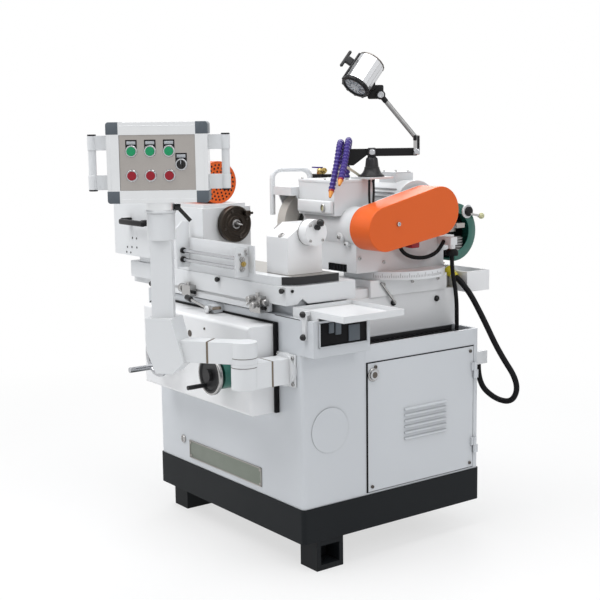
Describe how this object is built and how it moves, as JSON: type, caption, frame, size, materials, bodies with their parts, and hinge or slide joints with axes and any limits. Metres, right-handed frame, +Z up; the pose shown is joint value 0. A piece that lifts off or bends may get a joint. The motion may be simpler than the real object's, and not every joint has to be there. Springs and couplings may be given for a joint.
{
  "type": "cylindrical grinder",
  "caption": "Small cylindrical grinder: a sliding, swivelling table carries a workhead and tailstock past a guarded wheel on a cross slide, run from a swinging pendant panel.",
  "frame": {"origin": "on the floor, midway between the anchor holes of the two front feet", "axes": "+X along the work axis to the operator's right, +Y to the back, +Z up"},
  "size_m": [1.183, 1.2415, 1.489],
  "materials": {
    "white_paint": "smooth gloss",
    "charcoal_paint": "satin",
    "orange_paint": "satin",
    "green_paint": "satin",
    "cast_white": "painted",
    "table_steel": "ground",
    "machined_steel": "turned",
    "dark_steel": "turned, dark",
    "chrome": "polished",
    "stainless": "brushed",
    "aluminium": "satin",
    "black_plastic": "matt",
    "green_plastic": "gloss",
    "red_plastic": "gloss",
    "purple_plastic": "gloss",
    "abrasive": "rough",
    "black_rubber": "matt",
    "brass": "cast"
  },
  "bodies": {
    "root": {"support_feet": "charcoal_paint", "base_plinth": "charcoal_paint", "bed_casting": "cast_white", "electrical_cabinet": "white_paint", "front_apron": "white_paint", "cross_feed_gearbox": "green_paint", "splash_trays": "white_paint", "wheelhead_pedestal": "cast_white", "pendant_mount": "white_paint", "hose_fittings": "brass", "hanging_hose": "black_rubber", "motor_conduit": "black_rubber"},
    "cabinet_door": {"cabinet_door": "white_paint"},
    "door_lock": {"door_lock": "chrome"},
    "table_handwheel": {"table_handwheel": "chrome"},
    "cross_feed_handwheel": {"cross_feed_handwheel": "black_plastic"},
    "reversing_lever": {"reversing_lever": "black_plastic"},
    "table": {"lower_table": "cast_white"},
    "swivel_table": {"swivel_table": "table_steel", "splash_wall": "white_paint", "guide_rods": "chrome", "workhead_housing": "cast_white", "workhead_cover": "white_paint", "workhead_motor": "orange_paint"},
    "stop_dog_left": {"stop_dog_left": "machined_steel"},
    "stop_dog_right": {"stop_dog_right": "machined_steel"},
    "work_spindle": {"workhead_spindle": "machined_steel", "drive_faceplate": "dark_steel"},
    "tailstock": {"tailstock_body": "cast_white"},
    "tailstock_quill": {"tailstock_quill": "machined_steel"},
    "tailstock_lever": {"tailstock_lever": "black_plastic"},
    "cross_slide": {"cross_slide": "cast_white"},
    "wheelhead": {"wheelhead_housing": "cast_white", "wheel_guard": "white_paint", "belt_guard": "orange_paint", "drive_belts": "black_rubber", "wheel_motor": "white_paint", "rear_drum": "green_paint", "coolant_block": "black_plastic", "coolant_hoses": "purple_plastic"},
    "wheel_spindle": {"wheel_spindle": "machined_steel", "grinding_wheel": "abrasive"},
    "motor_pulley": {"motor_pulley": "machined_steel"},
    "coolant_valve_lever": {"coolant_valve_lever": "purple_plastic"},
    "lamp_base": {"lamp_base": "black_plastic"},
    "lamp_arm": {"lamp_arm": "black_plastic"},
    "lamp_rod": {"lamp_rod": "black_plastic"},
    "lamp_head": {"lamp_head": "aluminium"},
    "pendant_arm": {"pendant_arm": "white_paint"},
    "panel": {"panel_enclosure": "aluminium", "panel_face_plate": "stainless", "panel_handles": "white_paint"},
    "clamp_lever": {"clamp_lever": "black_plastic"},
    "selector_knob": {"selector_knob": "black_plastic"},
    "green_button_1": {"green_button_1": "green_plastic"},
    "green_button_2": {"green_button_2": "green_plastic"},
    "green_button_3": {"green_button_3": "green_plastic"},
    "red_button_1": {"red_button_1": "red_plastic"},
    "red_button_2": {"red_button_2": "red_plastic"},
    "red_button_3": {"red_button_3": "red_plastic"}
  },
  "joints": [
    {"name": "door_hinge", "type": "hinge", "parent": "root", "child": "cabinet_door", "pos_m": [0.4078, 0.573, 0.2], "axis": [0, 0, 1], "range_deg": [0, 105]},
    {"name": "door_lock_turn", "type": "hinge", "parent": "cabinet_door", "child": "door_lock", "pos_m": [0.4015, 0.163, 0.552], "axis": [1, 0, 0], "range_deg": [0, 90]},
    {"name": "table_slide", "type": "slide", "parent": "root", "child": "table", "axis": [1, 0, 0], "range_m": [-0.06, 0.15]},
    {"name": "table_handwheel_turn", "type": "hinge", "parent": "root", "child": "table_handwheel", "pos_m": [-0.159, -0.19, 0.576], "axis": [0, 1, 0], "continuous": true},
    {"name": "cross_feed_handwheel_turn", "type": "hinge", "parent": "root", "child": "cross_feed_handwheel", "pos_m": [0.168, -0.19, 0.569], "axis": [0, 1, 0], "continuous": true},
    {"name": "reversing_lever_turn", "type": "hinge", "parent": "root", "child": "reversing_lever", "pos_m": [-0.013, -0.13, 0.727], "axis": [0, 1, 0], "range_deg": [-10, 10]},
    {"name": "table_swivel", "type": "hinge", "parent": "table", "child": "swivel_table", "pos_m": [-0.11, -0.003, 0.8263], "axis": [0, 0, 1], "range_deg": [-3, 3]},
    {"name": "left_dog_slide", "type": "slide", "parent": "table", "child": "stop_dog_left", "axis": [1, 0, 0], "range_m": [-0.08, 0.1]},
    {"name": "right_dog_slide", "type": "slide", "parent": "table", "child": "stop_dog_right", "axis": [1, 0, 0], "range_m": [-0.12, 0.004]},
    {"name": "work_spindle_turn", "type": "hinge", "parent": "swivel_table", "child": "work_spindle", "pos_m": [-0.115, 0.021, 0.9706], "axis": [1, 0, 0], "continuous": true},
    {"name": "tailstock_slide", "type": "slide", "parent": "swivel_table", "child": "tailstock", "axis": [1, 0, 0], "range_m": [-0.04, 0.02]},
    {"name": "tailstock_quill_slide", "type": "slide", "parent": "tailstock", "child": "tailstock_quill", "axis": [1, 0, 0], "range_m": [0, 0.02]},
    {"name": "tailstock_lever_turn", "type": "hinge", "parent": "tailstock", "child": "tailstock_lever", "pos_m": [0.323, 0.021, 0.9866], "axis": [1, 0, 0], "range_deg": [0, 61]},
    {"name": "cross_feed_slide", "type": "slide", "parent": "root", "child": "cross_slide", "axis": [0, 1, 0], "range_m": [-0.095, 0.01]},
    {"name": "wheelhead_swivel", "type": "hinge", "parent": "cross_slide", "child": "wheelhead", "pos_m": [0.21, 0.411, 0.8086], "axis": [0, 0, 1], "range_deg": [-5, 5]},
    {"name": "wheel_spindle_turn", "type": "hinge", "parent": "wheelhead", "child": "wheel_spindle", "pos_m": [0.058, 0.231, 0.9706], "axis": [1, 0, 0], "continuous": true},
    {"name": "motor_pulley_turn", "type": "hinge", "parent": "wheelhead", "child": "motor_pulley", "pos_m": [0.29, 0.446, 1.0126], "axis": [1, 0, 0], "continuous": true},
    {"name": "coolant_valve_turn", "type": "hinge", "parent": "wheelhead", "child": "coolant_valve_lever", "pos_m": [0.011, 0.278, 1.1196], "axis": [0, 0, 1], "range_deg": [-90, 0]},
    {"name": "lamp_base_turn", "type": "hinge", "parent": "wheelhead", "child": "lamp_base", "pos_m": [0.229, 0.306, 1.1166], "axis": [0, 0, 1], "range_deg": [-10, 10]},
    {"name": "lamp_arm_tilt", "type": "hinge", "parent": "lamp_base", "child": "lamp_arm", "pos_m": [0.229, 0.306, 1.1906], "axis": [-0.8059, 0.592, 0], "range_deg": [-10, 1]},
    {"name": "lamp_rod_tilt", "type": "hinge", "parent": "lamp_arm", "child": "lamp_rod", "pos_m": [0.30892, 0.4148, 1.1906], "axis": [-0.8059, 0.592, 0], "range_deg": [-10, 20]},
    {"name": "lamp_head_tilt", "type": "hinge", "parent": "lamp_rod", "child": "lamp_head", "pos_m": [0.24498, 0.32776, 1.3606], "axis": [-0.8059, 0.592, 0], "range_deg": [-25, 20]},
    {"name": "pendant_arm_swing", "type": "hinge", "parent": "root", "child": "pendant_arm", "pos_m": [0.33, -0.239, 0.6283], "axis": [0, 0, 1], "range_deg": [0, 85]},
    {"name": "panel_turn", "type": "hinge", "parent": "pendant_arm", "child": "panel", "pos_m": [0.14005, -0.37905, 1.0406], "axis": [0, 0, 1], "range_deg": [-40, 40]},
    {"name": "clamp_lever_turn", "type": "hinge", "parent": "panel", "child": "clamp_lever", "pos_m": [0.14005, -0.37905, 1.0556], "axis": [0.592, 0.8059, 0], "range_deg": [-50, 50]},
    {"name": "green_button_1_press", "type": "slide", "parent": "panel", "child": "green_button_1", "axis": [-0.8059, 0.592, 0], "range_m": [0, 0.003], "stiffness_N_per_m": 450},
    {"name": "green_button_2_press", "type": "slide", "parent": "panel", "child": "green_button_2", "axis": [-0.8059, 0.592, 0], "range_m": [0, 0.003], "stiffness_N_per_m": 450},
    {"name": "green_button_3_press", "type": "slide", "parent": "panel", "child": "green_button_3", "axis": [-0.8059, 0.592, 0], "range_m": [0, 0.003], "stiffness_N_per_m": 450},
    {"name": "red_button_1_press", "type": "slide", "parent": "panel", "child": "red_button_1", "axis": [-0.8059, 0.592, 0], "range_m": [0, 0.003], "stiffness_N_per_m": 450},
    {"name": "red_button_2_press", "type": "slide", "parent": "panel", "child": "red_button_2", "axis": [-0.8059, 0.592, 0], "range_m": [0, 0.003], "stiffness_N_per_m": 450},
    {"name": "red_button_3_press", "type": "slide", "parent": "panel", "child": "red_button_3", "axis": [-0.8059, 0.592, 0], "range_m": [0, 0.003], "stiffness_N_per_m": 450},
    {"name": "selector_turn", "type": "hinge", "parent": "panel", "child": "selector_knob", "pos_m": [0.17823, -0.32706, 1.174], "axis": [-0.8059, 0.592, 0], "range_deg": [-45, 45]}
  ],
  "couplings": [
    {"joint": "table_handwheel_turn", "follows": "table_slide", "rad_per_m": 125.66},
    {"joint": "cross_feed_handwheel_turn", "follows": "cross_feed_slide", "rad_per_m": 314.16},
    {"joint": "tailstock_lever_turn", "follows": "tailstock_quill_slide", "rad_per_m": 52.36},
    {"joint": "motor_pulley_turn", "follows": "wheel_spindle_turn", "ratio": 0.84615}
  ]
}
